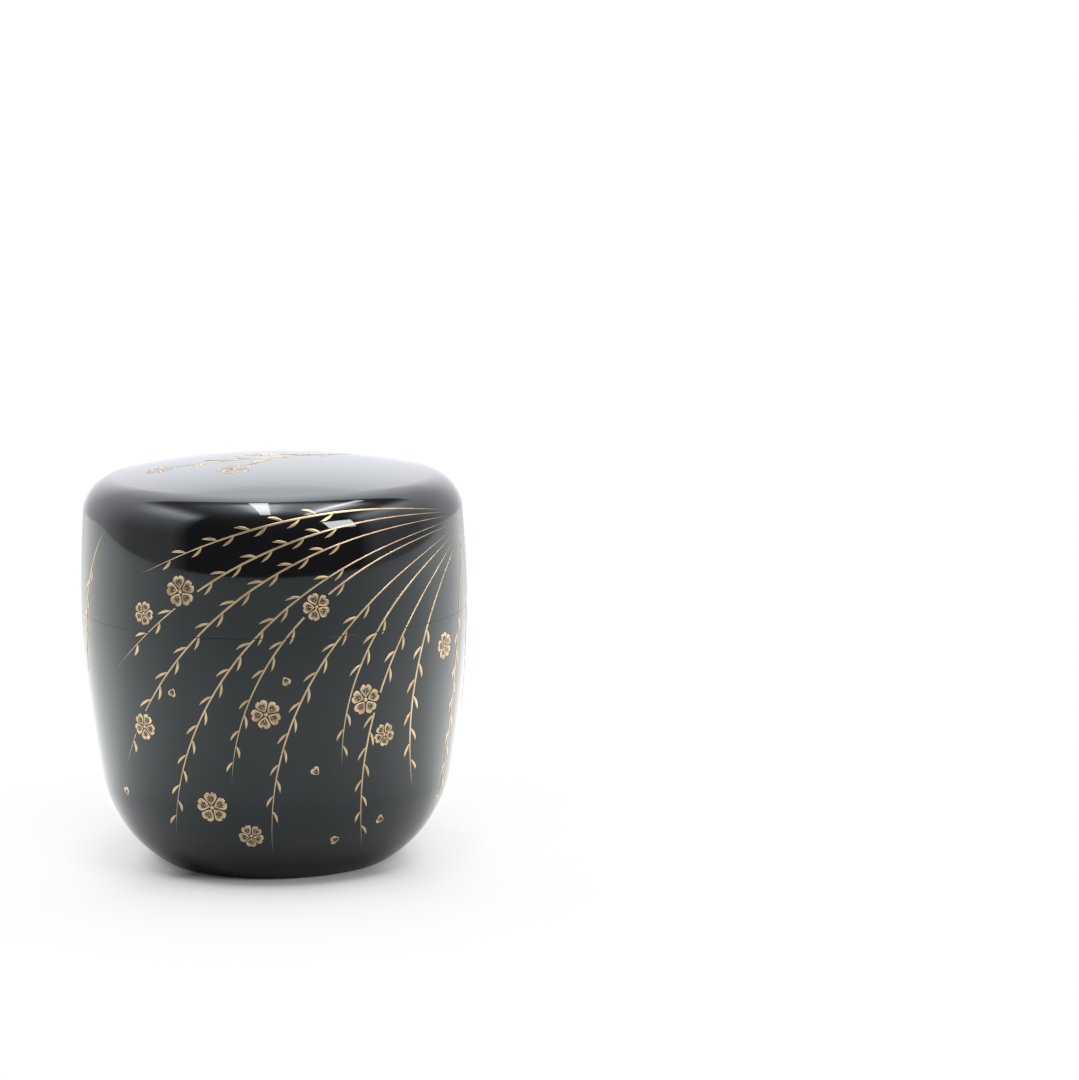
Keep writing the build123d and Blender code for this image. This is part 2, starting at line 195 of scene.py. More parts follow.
# A blossom, in shares of its size and of the gold's relief
petal_count = 5
petal_middle = 0.62
petal_middle_relief = 0.45
petal_middle_powder = 0.3
powder_change_start = 0.3
powder_change_length = 0.5
petal_rings = [
    # share of the outline's reach, share of the relief, powder at the base, powder at the tip
    (1.0, 0.0, 1.0, 1.0),
    (0.97, 0.75, 1.0, 1.0),
    (0.93, 1.0, 1.0, 1.0),
    (0.88, 0.9, 0.95, 1.0),
    (0.83, 0.55, 0.5, 0.85),
    (0.65, 0.45, 0.15, 0.6),
    (0.4, 0.42, 0.2, 0.4),
    (0.2, 0.45, 0.25, 0.35),
]
dome_rings = [(1.0, 0.0), (0.85, 0.6), (0.5, 0.92)]
stamens = [
    # degrees aside, length
    (-17, 0.4),
    (0, 0.5),
    (17, 0.4),
]
stamen_start = 0.19
stamen_width = 0.05
stamen_tip_radius = 0.042
stamen_tip_relief = 0.8
stamen_tip_segments = 10
heart_radius = 0.13
heart_segments = 14

# Materials
lacquer_ior = 1.55
lacquer_mirror_tint = (0.86, 0.99, 1.0, 1)
lacquer_pale_gain = 1.35
lacquer_colour = (0.0045, 0.0045, 0.0052)
inner_lacquer_colour = (0.006, 0.0055, 0.0055)
gold_deep = (0.485, 0.36, 0.2)
gold_plain = (0.59, 0.455, 0.27)
gold_pale = (0.675, 0.55, 0.36)
gold_ground = (0.005, 0.0045, 0.004, 1)
powder_attribute = "powder"
powder_gain = 1.15
powder_thinnest = 0.86
powder_closed = 1.1
bare_roughness = 0.12
powder_roughness = 0.36
wood_pale = (0.66, 0.5, 0.33)
wood_deep = (0.52, 0.37, 0.23)

# Studio: lengths in metres, and the walls' bearings from the front in degrees. A place on the ceiling is
# given by how far across and how far back it is, in shares of the ceiling's height.
floor_radius = 0.66
floor_segments = 128
floor_tone = 0.86
floor_mirror_gain = 3.0
floor_side_start = 0.7
front_to_side = (52, 64)
side_to_flank = (96, 124)
flank_to_back = (144, 178)
ceiling_lowest = 0.05
ceiling_middle = 0.09
ceiling_back_border = (0.41, 0.43)
ceiling_border_slant = 0.3
strip_lean = 0.4
fill_strength = 0.33
backdrop_strength = 1.0
plain_white = (1, 1, 1, 1)
room_tint = (1.01, 0.965, 1.03, 1)
cool_tint = (0.965, 0.985, 1.04, 1)
lamp_colour = (1.06, 0.98, 0.965)
lamp_target = (0.0, 0.0, 0.058)

# Camera: its place in metres, its angles in degrees, and its lens in pixels of the picture
camera_place = (0.0, -0.679, 0.1656)
camera_pitch = 9.307
camera_yaw = 3.852
camera_roll = -0.246
focal_pixels = 4000
picture_pixels = 1080
sensor_width = 36.0


# Outline of the turned coats

def circle_crossing(centre_a, radius_a, centre_b, radius_b, side):
    """Where two circles cross: side 1 is left of the way from centre a to centre b, -1 is right of it."""
    across = centre_b[0] - centre_a[0]
    up = centre_b[1] - centre_a[1]
    apart = hypot(across, up)
    along = (radius_a**2 - radius_b**2 + apart**2) / (2 * apart)
    aside = side * sqrt(radius_a**2 - along**2)
    return (
        centre_a[0] + (along * across - aside * up) / apart,
        centre_a[1] + (along * up + aside * across) / apart,
    )


def beyond(centre_a, centre_b, distance):
    """The point on the line from centre a through centre b, at a distance from centre a."""
    scale = distance / hypot(centre_b[0] - centre_a[0], centre_b[1] - centre_a[1])
    return (
        centre_a[0] + (centre_b[0] - centre_a[0]) * scale,
        centre_a[1] + (centre_b[1] - centre_a[1]) * scale,
    )


crown_centre = (0.0, height - crown_radius)
upper_side_centre = (radius - upper_side_radius, widest_height)
lower_side_centre = (radius - lower_side_radius, widest_height)
shoulder_centre = circle_crossing(
    crown_centre, crown_radius - shoulder_radius, upper_side_centre, upper_side_radius - shoulder_radius, -1
)
haunch_centre = circle_crossing(
    lower_side_centre, lower_side_radius - haunch_radius, (foot_radius, 0.0), haunch_radius, 1
)
haunch_top = beyond(lower_side_centre, haunch_centre, lower_side_radius)[1]
side_top = beyond(upper_side_centre, shoulder_centre, upper_side_radius)[1]
shoulder_top = beyond(crown_centre, shoulder_centre, crown_radius)[1]
outline_arcs = [
    # level that the arc reaches up to, its centre, its radius
    (haunch_top, haunch_centre, haunch_radius),
    (widest_height, lower_side_centre, lower_side_radius),
    (side_top, upper_side_centre, upper_side_radius),
    (shoulder_top, shoulder_centre, shoulder_radius),
]


def swept(centre, reach, first, turn, count):
    """Points of an arc about a centre, from a first angle through a turn."""
    angles = [first + turn * i / count for i in range(count + 1)]
    return [(centre[0] + reach * cos(angle), centre[1] + reach * sin(angle)) for angle in angles]


def arc(centre, start, end, step=coat_step, turn_step=small_arc_turn):
    """Points of the shorter arc about a centre, both ends among them."""
    first = atan2(start[1] - centre[1], start[0] - centre[0])
    turn = atan2(end[1] - centre[1], end[0] - centre[0]) - first
    turn = (turn + pi) % (2 * pi) - pi
    reach = hypot(start[0] - centre[0], start[1] - centre[1])
    count = max(2, ceil(abs(turn) * reach / step))
    if reach < small_arc_radius:
        count = max(count, ceil(abs(turn) / radians(turn_step)))
    return swept(centre, reach, first, turn, count)


def away_at(centre, reach, level):
    """Distance from the axis of an arc about a centre, at a level."""
    return centre[0] + sqrt(max(0.0, reach**2 - (level - centre[1]) ** 2))


def lower_side_at(level, inset=0.0):
    return away_at(lower_side_centre, lower_side_radius - inset, level)


def outline_arc_at(level):
    """Centre and radius of the closed caddy's outside at a level."""
    for top, centre, reach in outline_arcs:
        if level < top:
            return centre, reach
    return crown_centre, crown_radius


def side_at(level):
    """Distance from the axis of the closed caddy's outside at a level."""
    centre, reach = outline_arc_at(level)
    return away_at(centre, reach, level)


def side_normal(level):
    """The outside's normal at a level, in (away from the axis, up)."""
    centre, reach = outline_arc_at(level)
    across = away_at(centre, reach, level) - centre[0]
    up = level - centre[1]
    length = hypot(across, up)
    return across / length, up / length


def body_skin(inset, bottom, step=coat_step):
    """The body's outside, or a line within it, from a level up to the seam."""
    start = (away_at(haunch_centre, haunch_radius - inset, bottom), bottom)
    bend = beyond(lower_side_centre, haunch_centre, lower_side_radius - inset)
    end = (lower_side_at(seam_height, inset), seam_height)
    return arc(haunch_centre, start, bend, step) + arc(lower_side_centre, bend, end, step)[1:]


def lid_skin(inset, step=coat_step):
    """The lid's outside, or a line within it, from the seam up to the axis."""
    start = (lower_side_at(seam_height, inset), seam_height)
    widest = (radius - inset, widest_height)
    shoulder = beyond(upper_side_centre, shoulder_centre, upper_side_radius - inset)
    crown = beyond(crown_centre, shoulder_centre, crown_radius - inset)
    top = (0.0, height - inset)
    return (
        arc(lower_side_centre, start, widest, step)
        + arc(upper_side_centre, widest, shoulder, step)[1:]
        + arc(shoulder_centre, shoulder, crown, step)[1:]
        + arc(crown_centre, crown, top, step)[1:]
    )


def bowl(growth):
    """The inside of the body from the middle of its floor up to the seam."""
    wall = mouth_radius + growth
    floor = floor_height - growth
    corner = bowl_corner_radius + growth
    centre = (wall - corner, floor + corner)
    round_corner = arc(centre, (wall - corner, floor), (wall, floor + corner))
    return [(0.0, floor), *round_corner, (wall, seam_height)]


def lid_hollow(growth):
    """The inside of the lid from the seam up to the middle of the ceiling."""
    wall = skirt_radius + growth
    corner = lid_corner_radius + growth
    ceiling = crown_radius - lid_top_thickness + growth
    level = crown_centre[1] + sqrt((ceiling - corner) ** 2 - (wall - corner) ** 2)
    centre = (wall - corner, level)
    start = beyond(crown_centre, centre, ceiling)
    return [
        (wall, seam_height),
        *arc(centre, (wall, level), start),
        *arc(crown_centre, start, (0.0, crown_centre[1] + ceiling))[1:],
    ]


def rounded(points, corners):
    """A closed outline with some of its corners rounded; corners gives a radius for the point's index."""
    made = []
    for index, point in enumerate(points):
        if index not in corners:
            made.append(point)
            continue
        reach = corners[index]
        before = Vector(points[index - 1]) - Vector(point)
        after = Vector(points[(index + 1) % len(points)]) - Vector(point)
        before.normalize()
        after.normalize()
        half = before.angle(after) / 2
        trim = reach / tan(half)
        centre = Vector(point) + (before + after).normalized() * (reach / sin(half))
        start = Vector(point) + before * trim
        end = Vector(point) + after * trim
        made.append(tuple(start + before * corner_lead))
        made += arc(tuple(centre), tuple(start), tuple(end), corner_step, corner_turn)
        made.append(tuple(end + after * corner_lead))
    return made


# Meshes

def new_object(name, bm, sharp_angle=coat_sharp_angle):
    """A smooth-shaded object from a bmesh, with its sharp corners kept."""
    bmesh.ops.recalc_face_normals(bm, faces=bm.faces)
    for face in bm.faces:
        face.smooth = True
    for edge in bm.edges:
        edge.smooth = len(edge.link_faces) != 2 or edge.calc_face_angle(0) < radians(sharp_angle)
    mesh = bpy.data.meshes.new(name)
    bm.to_mesh(mesh)
    bm.free()
    made = bpy.data.objects.new(name, mesh)
    bpy.context.scene.collection.objects.link(made)
    return made


def turned(name, outline):
    """A closed half section turned about the axis."""
    bm = bmesh.new()
    turns = [2 * pi * i / turned_segments for i in range(turned_segments)]
    loops = []
    for away, level in outline:
        if away < TINY:
            loops.append([bm.verts.new((0, 0, level * MM))])
            continue
        reach = away * MM
        loops.append([bm.verts.new((reach * cos(turn), reach * sin(turn), level * MM)) for turn in turns])
    for index, loop in enumerate(loops):
        other = loops[(index + 1) % len(loops)]
        if len(loop) == 1 and len(other) == 1:
            continue
        for i in range(turned_segments):
            j = (i + 1) % turned_segments
            near = [loop[i % len(loop)], loop[j % len(loop)]]
            far = [other[j % len(other)], other[i % len(other)]]
            bm.faces.new(list(dict.fromkeys(near + far)))
    return new_object(name, bm)


def on_side(facing, across, level, proud):
    """A point of a drawing on an upright plane, carried back to the caddy's side, in metres."""
    away = side_at(level)
    across = max(-away, min(away, across))
    depth = sqrt(away * away - across * across)
    angle = radians(facing)
    x = across * cos(angle) + depth * sin(angle)
    y = across * sin(angle) - depth * cos(angle)
    out, up = side_normal(level)
    around = atan2(y, x)
    return Vector((
        (x + proud * out * cos(around)) * MM,
        (y + proud * out * sin(around)) * MM,
        (level + proud * up) * MM,
    ))


def on_top(across, forward, proud):
    """A point of a drawing seen from above, carried down to the top of the lid, in metres."""
    away = hypot(across, forward)
    level = crown_centre[1] + sqrt(crown_radius**2 - away**2)
    normal = Vector((across, forward, level - crown_centre[1])) / crown_radius
    return (Vector((across, forward, level)) + normal * proud) * MM


def bowed(root, tip, rise, count):
    """Points and headings of an arc whose middle lies so far to the right of the straight way."""
    chord = hypot(tip[0] - root[0], tip[1] - root[1])
    ahead = ((tip[0] - root[0]) / chord, (tip[1] - root[1]) / chord)
    right = (ahead[1], -ahead[0])
    if abs(rise) < TINY:
        rise = TINY
    reach = (chord * chord / 4 + rise * rise) / (2 * rise)
    half = 2 * atan2(rise, chord / 2)
    middle = ((root[0] + tip[0]) / 2, (root[1] + tip[1]) / 2)
    centre = (middle[0] + right[0] * (rise - reach), middle[1] + right[1] * (rise - reach))
    made = []
    for i in range(count + 1):
        turn = half * (2 * i / count - 1)
        c, s = cos(turn), sin(turn)
        out = (right[0] * c + ahead[0] * s, right[1] * c + ahead[1] * s)
        point = (centre[0] + reach * out[0], centre[1] + reach * out[1])
        heading = (ahead[0] * c - right[0] * s, ahead[1] * c - right[1] * s)
        made.append((point, heading))
    return made


def powder_layer(bm):
    """How much gold powder each vertex carries, which the gold's material reads."""
    layers = bm.verts.layers.float
    return layers.get(powder_attribute) or layers.new(powder_attribute)


def join_loops(bm, loops):
    """Faces from each loop of vertices to the next."""
    count = len(loops[0])
    for a, b in zip(loops, loops[1:]):
        for i in range(count):
            j = (i + 1) % count
            bm.faces.new((a[i], a[j], b[j], b[i]))


def close_loops(bm, loops, crest, under):
    """Faces from the last loop to a crest, and from the first one to a vertex under it."""
    count = len(loops[0])
    for i in range(count):
        j = (i + 1) % count
        bm.faces.new((loops[-1][i], loops[-1][j], crest))
        bm.faces.new((loops[0][j], loops[0][i], under))


def add_run(bm, run):
    """Joins the loops of one stroke and closes its ends."""
    layer = powder_layer(bm)
    if len(run) < 2:
        return
    loops = [[bm.verts.new(point) for point in loop] for loop in run]
    for loop in loops:
        for vert in loop:
            vert[layer] = 1.0
    join_loops(bm, loops)
    bm.faces.new(loops[0][::-1])
    bm.faces.new(loops[-1])


def add_stroke(bm, place, root, tip, rise, width, is_bare, step=stroke_step):
    """A raised stroke pointed at both ends; it leaves out what is_bare keeps free of gold."""
    chord = hypot(tip[0] - root[0], tip[1] - root[1])
    count = max(fewest_stroke_steps, ceil(chord * stroke_bow_allowance / step))
    run = []
    for i, (point, heading) in enumerate(bowed(root, tip, rise, count)):
        if is_bare(point):
            add_run(bm, run)
            run = []
            continue
        share = i / count
        breadth = max(stroke_end_width, 4 * share * (1 - share))
        half = width / 2 * breadth
        tall = gold_relief * min(1.0, stroke_end_relief + stroke_relief_gain * breadth)
        right = (heading[1] * half, -heading[0] * half)
        loop = [
            place(point[0] + right[0] * aside, point[1] + right[1] * aside, relief * tall)
            for aside, relief in stroke_section
        ]
        loop.append(place(*point, -gold_depth))
        run.append(loop)
    add_run(bm, run)


def through(a, b, c, count):
    """Points of the circle's arc from a through b to c."""
    slant = 2 * (a[0] * (b[1] - c[1]) + b[0] * (c[1] - a[1]) + c[0] * (a[1] - b[1]))
    far_a, far_b, far_c = (x * x + y * y for x, y in (a, b, c))
    x = (far_a * (b[1] - c[1]) + far_b * (c[1] - a[1]) + far_c * (a[1] - b[1])) / slant
    y = (far_a * (c[0] - b[0]) + far_b * (a[0] - c[0]) + far_c * (b[0] - a[0])) / slant
    first = atan2(a[1] - y, a[0] - x)
    midway = (atan2(b[1] - y, b[0] - x) - first) % (2 * pi)
    turn = (atan2(c[1] - y, c[0] - x) - first) % (2 * pi)
    if midway > turn:
        turn -= 2 * pi
    return swept((x, y), hypot(a[0] - x, a[1] - y), first, turn, count)


def petal_outline(size):
    """Points round a broad notched petal that points along +X, from its base round to its base."""
    base = (0.17 * size, 0.0)
    flank = (0.41 * size, 0.25 * size)
    widest = (0.68 * size, 0.42 * size)
    shoulder = (0.91 * size, 0.325 * size)
    tip = (0.985 * size, 0.09 * size)
    notch = (0.86 * size, 0.0)
    upper = through(base, flank, widest, petal_steps)
    upper += through(widest, shoulder, tip, petal_steps)[1:]
    upper += [((tip[0] + notch[0]) / 2, tip[1] / 2), notch]
    lower = [(x, -y) for x, y in upper[1:-1]]
    return upper + lower[::-1]


def add_petal(bm, place, middle, size, turn):
    """A petal with a raised rim and a lower inside, drawn round a blossom's middle."""
    layer = powder_layer(bm)
    c, s = cos(radians(turn)), sin(radians(turn))

    def spot(x, y, relief):
        return bm.verts.new(place(middle[0] + x * c - y * s, middle[1] + x * s + y * c, relief))

    heart = petal_middle * size
    loops = []
    for shrink, tall, at_base, at_tip in petal_rings:
        loop = []
        for x, y in petal_outline(size):
            inner_x = heart + (x - heart) * shrink
            vert = spot(inner_x, y * shrink, tall * gold_relief)
            outwards = (inner_x / size - powder_change_start) / powder_change_length
            vert[layer] = at_base + (at_tip - at_base) * max(0.0, min(1.0, outwards))
            loop.append(vert)
        loops.append(loop)
    join_loops(bm, loops)
    crest = spot(heart, 0.0, petal_middle_relief * gold_relief)
    crest[layer] = petal_middle_powder
    close_loops(bm, loops, crest, spot(heart, 0.0, -gold_depth))


def add_dome(bm, place, middle, reach, tall, count):
    """A small raised round dot."""
    layer = powder_layer(bm)

    def spot(away, index, relief):
        turn = 2 * pi * index / count
        vert = bm.verts.new(place(middle[0] + away * cos(turn), middle[1] + away * sin(turn), relief))
        vert[layer] = 1.0
        return vert

    loops = [[spot(reach * shrink, i, rise * tall) for i in range(count)] for shrink, rise in dome_rings]
    crest = spot(0.0, 0, tall)
    under = spot(0.0, 0, -gold_depth)
    join_loops(bm, loops)
    close_loops(bm, loops, crest, under)


def is_never_bare(point):
    """For a stroke that nothing interrupts."""
    return False


def add_blossom(bm, place, middle, size, turn):
    """Five petals, a heart and fine stamens with their dots."""
    for index in range(petal_count):
        outwards = 90 + turn + 360 / petal_count * index
        add_petal(bm, place, middle, size, outwards)
        for aside, length in stamens:
            c, s = cos(radians(outwards + aside)), sin(radians(outwards + aside))
            root = (middle[0] + stamen_start * size * c, middle[1] + stamen_start * size * s)
            tip = (middle[0] + length * size * c, middle[1] + length * size * s)
            add_stroke(bm, place, root, tip, 0.0, stamen_width * size, is_never_bare, stamen_step)
            tip_relief = stamen_tip_relief * gold_relief
            add_dome(bm, place, tip, stamen_tip_radius * size, tip_relief, stamen_tip_segments)
    add_dome(bm, place, middle, heart_radius * size, gold_relief, heart_segments)


def cut_at_seam(bm, keep_above):
    """Keeps the gold on one side of the seam and closes the cut."""
    level = seam_height + (1 if keep_above else -1) * (seam_round + gold_seam_gap)
    done = bmesh.ops.bisect_plane(
        bm,
        geom=bm.verts[:] + bm.edges[:] + bm.faces[:],
        dist=TINY * MM,
        plane_co=(0, 0, level * MM),
        plane_no=(0, 0, 1),
        clear_outer=not keep_above,
        clear_inner=keep_above,
    )
    edges = [e for e in done["geom_cut"] if isinstance(e, bmesh.types.BMEdge) and e.is_boundary]
    if edges:
        bmesh.ops.holes_fill(bm, edges=edges)


# Nodes of the materials and of the world

def set_inputs(tree, node, **inputs):
    """Links or sets a node's inputs: From_Min is the one named From Min, and i1 is the one at place 1."""
    for name, value in inputs.items():
        key = int(name[1:]) if name[0] == "i" and name[1:].isdigit() else name.replace("_", " ")
        if isinstance(value, bpy.types.NodeSocket):
            tree.links.new(value, node.inputs[key])
        else:
            node.inputs[key].default_value = value
    return node


def add_node(tree, kind, **inputs):
    return set_inputs(tree, tree.nodes.new(kind), **inputs)


def calculate(tree, operation, *values):
    """The result of one sum on values that are numbers or other nodes' outputs."""
    node = tree.nodes.new("ShaderNodeMath")
    node.operation = operation
    set_inputs(tree, node, **{f"i{place}": value for place, value in enumerate(values)})
    return node.outputs["Value"]


def span(tree, value, low, high, to_low=0.0, to_high=1.0):
    """A value that goes from to_low to to_high while another goes from low to high."""
    limits = {"From_Min": low, "From_Max": high, "To_Min": to_low, "To_Max": to_high}
    return add_node(tree, "ShaderNodeMapRange", Value=value, **limits).outputs["Result"]


def curve(tree, value, places, handle="AUTO_CLAMPED"):
    """A height read off a curve through places, each a value and a height of at least 0."""
    low, high = places[0][0], places[-1][0]
    top = max(tall for level, tall in places)
    node = add_node(tree, "ShaderNodeFloatCurve", Value=span(tree, value, low, high))
    points = node.mapping.curves[0].points
    points[0].location = (0.0, places[0][1] / top)
    points[1].location = (1.0, places[-1][1] / top)
    for level, tall in places[1:-1]:
        points.new((level - low) / (high - low), tall / top)
    for point in points:
        point.handle_type = handle
    node.mapping.update()
    return calculate(tree, "MULTIPLY", node.outputs["Value"], top)


def blend(tree, factor, low, high):
    """A value between two, or a colour where low is a tuple."""
    node = tree.nodes.new("ShaderNodeMix")
    first, result = 2, 0
    if isinstance(low, tuple):
        node.data_type = "RGBA"
        first, result = 6, 2
    set_inputs(tree, node, **{"i0": factor, f"i{first}": low, f"i{first + 1}": high})
    return node.outputs[result]


def mix_shaders(tree, factor, first, second):
    """A node that shows one node's shader at factor 0 and another's at factor 1."""
    return add_node(tree, "ShaderNodeMixShader", Fac=factor, i1=first.outputs[0], i2=second.outputs[0])


def ramp(tree, factor, stops):
    """A colour along a ramp; stops are (place, value or colour)."""
    node = add_node(tree, "ShaderNodeValToRGB", Fac=factor)
    elements = node.color_ramp.elements
    while len(elements) < len(stops):
        elements.new(0.5)
    for element, (place, value) in zip(elements, stops):
        element.position = place
        element.color = (*value, 1) if isinstance(value, tuple) else (value, value, value, 1)
    return node.outputs["Color"]


def noise(tree, scale, detail, **others):
    """A noise over the object's own coordinates, from 0 to 1."""
    where = object_coordinates(tree)
    node = add_node(tree, "ShaderNodeTexNoise", Vector=where, Scale=scale, Detail=detail, **others)
    return node.outputs["Fac"]


def bump(tree, height_map, strength, distance):
    node = add_node(tree, "ShaderNodeBump", Height=height_map, Strength=strength, Distance=distance)
    return node.outputs["Normal"]


def object_coordinates(tree):
    return tree.nodes.new("ShaderNodeTexCoord").outputs["Object"]


def empty_tree(owner, output_kind):
    """The cleared node tree of a material or world, and the surface socket of its output."""
    owner.use_nodes = True
    tree = owner.node_tree
    tree.nodes.clear()
    return tree, tree.nodes.new(output_kind).inputs["Surface"]


# Materials

def new_material(name):
    """A material with one plain shader, the material's node tree and the shader."""
    made = bpy.data.materials.new(name)
    tree, surface = empty_tree(made, "ShaderNodeOutputMaterial")
    shader = tree.nodes.new("ShaderNodeBsdfPrincipled")
    tree.links.new(shader.outputs["BSDF"], surface)
    return made, tree, shader


def make_lacquer(name, colour, polish, soft):
    """Black lacquer: near-mirror, with a faint unevenness of the polish."""
    material, tree, shader = new_material(name)
    broad = noise(tree, scale=90.0, detail=2.0)
    fine = noise(tree, scale=900.0, detail=4.0)
    pale = tuple(c * lacquer_pale_gain for c in colour)
    set_inputs(
        tree,
        shader,
        Base_Color=ramp(tree, broad, [(0.3, colour), (0.7, pale)]),
        Roughness=ramp(tree, fine, [(0.35, polish), (0.75, soft)]),
        Normal=bump(tree, broad, strength=0.05, distance=0.00002),
        IOR=lacquer_ior,
        Specular_Tint=lacquer_mirror_tint,
    )
    return material


def make_gold():
    """Fine gold powder in lacquer: dense in lines, thinly strewn where the powder attribute is low."""
    material, tree, shader = new_material("gold_powder")
    grain = noise(tree, scale=9000.0, detail=3.0, Roughness=0.6)
    patches = noise(tree, scale=450.0, detail=3.0)
    strewn = noise(tree, scale=6500.0, detail=2.0)
    powder = tree.nodes.new("ShaderNodeAttribute")
    powder.attribute_name = powder_attribute
    density = calculate(tree, "MULTIPLY", powder.outputs["Fac"], powder_gain)
    covered = span(tree, calculate(tree, "ADD", density, strewn), powder_thinnest, powder_closed)
    tone = ramp(tree, patches, [(0.3, gold_deep), (0.5, gold_plain), (0.75, gold_pale)])
    set_inputs(
        tree,
        shader,
        Base_Color=blend(tree, covered, gold_ground, tone),
        Roughness=span(tree, covered, 0.0, 1.0, bare_roughness, powder_roughness),
        Metallic=covered,
        Normal=bump(tree, grain, strength=0.3, distance=0.00002),
    )
    return material


def make_wood():
    """Fine-grained turned wood under the lacquer."""
    material, tree, shader = new_material("turned_wood")
    where = object_coordinates(tree)
    stretch = add_node(tree, "ShaderNodeMapping", Vector=where, Scale=(1.0, 1.0, 0.12)).outputs["Vector"]
    rings = add_node(tree, "ShaderNodeTexWave", Vector=stretch, Scale=180.0, Distortion=6.0, Detail=3.0)
    pores = add_node(tree, "ShaderNodeTexNoise", Vector=stretch, Scale=2500.0, Detail=4.0)
    set_inputs(
        tree,
        shader,
        Base_Color=ramp(tree, rings.outputs["Fac"], [(0.2, wood_pale), (0.85, wood_deep)]),
        Roughness=0.55,
        Normal=bump(tree, pores.outputs["Fac"], strength=0.3, distance=0.0001),
    )
    return material


black_lacquer = make_lacquer("black_lacquer", lacquer_colour, polish=0.02, soft=0.05)
inner_lacquer = make_lacquer("inner_black_lacquer", inner_lacquer_colour, polish=0.05, soft=0.11)
gold = make_gold()
wood = make_wood()


def finish_piece(piece, material, body, node):
    """Gives a piece its material, hangs it on the body it rides on, and hides the model's node that it
    stands for.
    """
    piece.data.materials.append(material)
    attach(piece, body)
    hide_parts(node)


# Coats

def body_outer_outline():
    recess_ground = recess_radius + outer_coat
    points = [(0.0, recess_depth), (recess_radius, recess_depth), (recess_radius, 0.0)]
    foot = len(points)
    points += body_skin(0.0, 0.0)
    seam = len(points) - 1
    points += body_skin(outer_coat, outer_coat, ground_step)[::-1]
    points += [
        (recess_ground, outer_coat),
        (recess_ground, recess_depth + outer_coat),
        (0.0, recess_depth + outer_coat),
    ]
    return rounded(points, {1: recess_round, 2: recess_round, foot: foot_round, seam: seam_round})


def body_inner_outline():
    ledge_edge = lower_side_at(seam_height - inner_coat, outer_coat)
    points = bowl(0.0)[:-1]
    start = len(points)
    points += [
        (mouth_radius, collar_top),
        (collar_radius, collar_top),
        (collar_radius, seam_height),
        (lower_side_at(seam_height, outer_coat), seam_height),
        (ledge_edge, seam_height - inner_coat),
        (collar_radius - inner_coat, seam_height - inner_coat),
        (collar_radius - inner_coat, collar_top - inner_coat),
        (mouth_radius + inner_coat, collar_top - inner_coat),
    ]
    points += bowl(inner_coat)[:-1][::-1]
    return rounded(points, {start: collar_round, start + 1: collar_round})


def lid_outer_outline():
    points = [*lid_skin(0.0), *lid_skin(outer_coat, ground_step)[::-1]]
    return rounded(points, {0: seam_round})


def lid_inner_outline():
    rim_level = seam_height + inner_coat
    points = [
        (lower_side_at(seam_height, outer_coat), seam_height),
        (lower_side_at(rim_level, outer_coat), rim_level),
        (skirt_radius + inner_coat, rim_level),
        *lid_hollow(inner_coat)[1:],
        *lid_hollow(0.0)[::-1],
    ]
    return rounded(points, {len(points) - 1: lid_rim_round})


coats = [
    # name, outline, material, body, node that it stands for
    ("body_coat_outside", body_outer_outline(), black_lacquer, "caddy_body", "body_outer_lacquer"),
    ("body_coat_inside", body_inner_outline(), inner_lacquer, "caddy_body", "body_inner_lacquer"),
    ("lid_coat_outside", lid_outer_outline(), black_lacquer, "lid", "lid_outer_lacquer"),
    ("lid_coat_inside", lid_inner_outline(), inner_lacquer, "lid", "lid_inner_lacquer"),
]
for name, outline, material, body, node in coats:
    finish_piece(turned(name, outline), material, body, node)
for node in ("body_wood_core", "lid_wood_core"):
    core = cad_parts[node]
    core.data.materials.clear()
    core.data.materials.append(wood)


# Gold

def touches_blossom(facing, point, gap):
    """Whether a point of a drawing plane lies within a gap of a blossom of the side."""
    across, level = point
    away = side_at(level)
    bearing = radians(facing) + asin(max(-1.0, min(1.0, across / away)))
    for blossom_facing, blossom_level, size, turn in blossoms:
        apart = bearing - radians(blossom_facing)
        if cos(apart) > 0 and hypot(away * sin(apart), level - blossom_level) < size + gap:
            return True
    return False


def touches_sprig_blossom(point):
    """Whether a point of the lid's top, seen from above, lies too near a blossom of the sprig."""
    for (x, y), size, turn in sprig_blossoms:
        if hypot(point[0] - x, point[1] - y) < size + blossom_gap:
            return True
    return False


def add_leaves(bm, facing, spine, length, bare_share, is_bare):
    """Leaves on alternate sides along a branch, from the end of its bare share."""
    place = partial(on_side, facing)
    for index in range(int((1 - bare_share) * length / leaf_spacing)):
        share = bare_share + index * leaf_spacing / length
        side = 1 if index % 2 == 0 else -1
        foot, heading = spine[round(share * spine_steps)]
        direction = atan2(heading[1], heading[0]) + side * radians(leaf_angle)
        reach = leaf_length * (leaf_shortest + (1 - leaf_shortest) * sin(pi * share))
        tip = (foot[0] + reach * cos(direction), foot[1] + reach * sin(direction))
        if not touches_blossom(facing, foot, leaf_gap) and not touches_blossom(facing, tip, leaf_gap):
            add_stroke(bm, place, foot, tip, -side * leaf_curl, leaf_width, is_bare, leaf_step)


def draw_branches(bm):
    for facing, root_angle, root_drop, tip_angle, tip_height, bend, bare_share in branches:
        is_bare = partial(touches_blossom, facing, gap=blossom_gap)
        root_height = height - root_drop
        root = (side_at(root_height) * sin(radians(root_angle)), root_height)
        tip = (side_at(tip_height) * sin(radians(tip_angle)), tip_height)
        half_chord = hypot(tip[0] - root[0], tip[1] - root[1]) / 2
        bow = half_chord * tan(radians(bend) / 4)
        length = half_chord / sin(radians(bend) / 2) * radians(bend)
        add_stroke(bm, partial(on_side, facing), root, tip, bow, branch_width, is_bare)
        add_leaves(bm, facing, bowed(root, tip, bow, spine_steps), length, bare_share, is_bare)


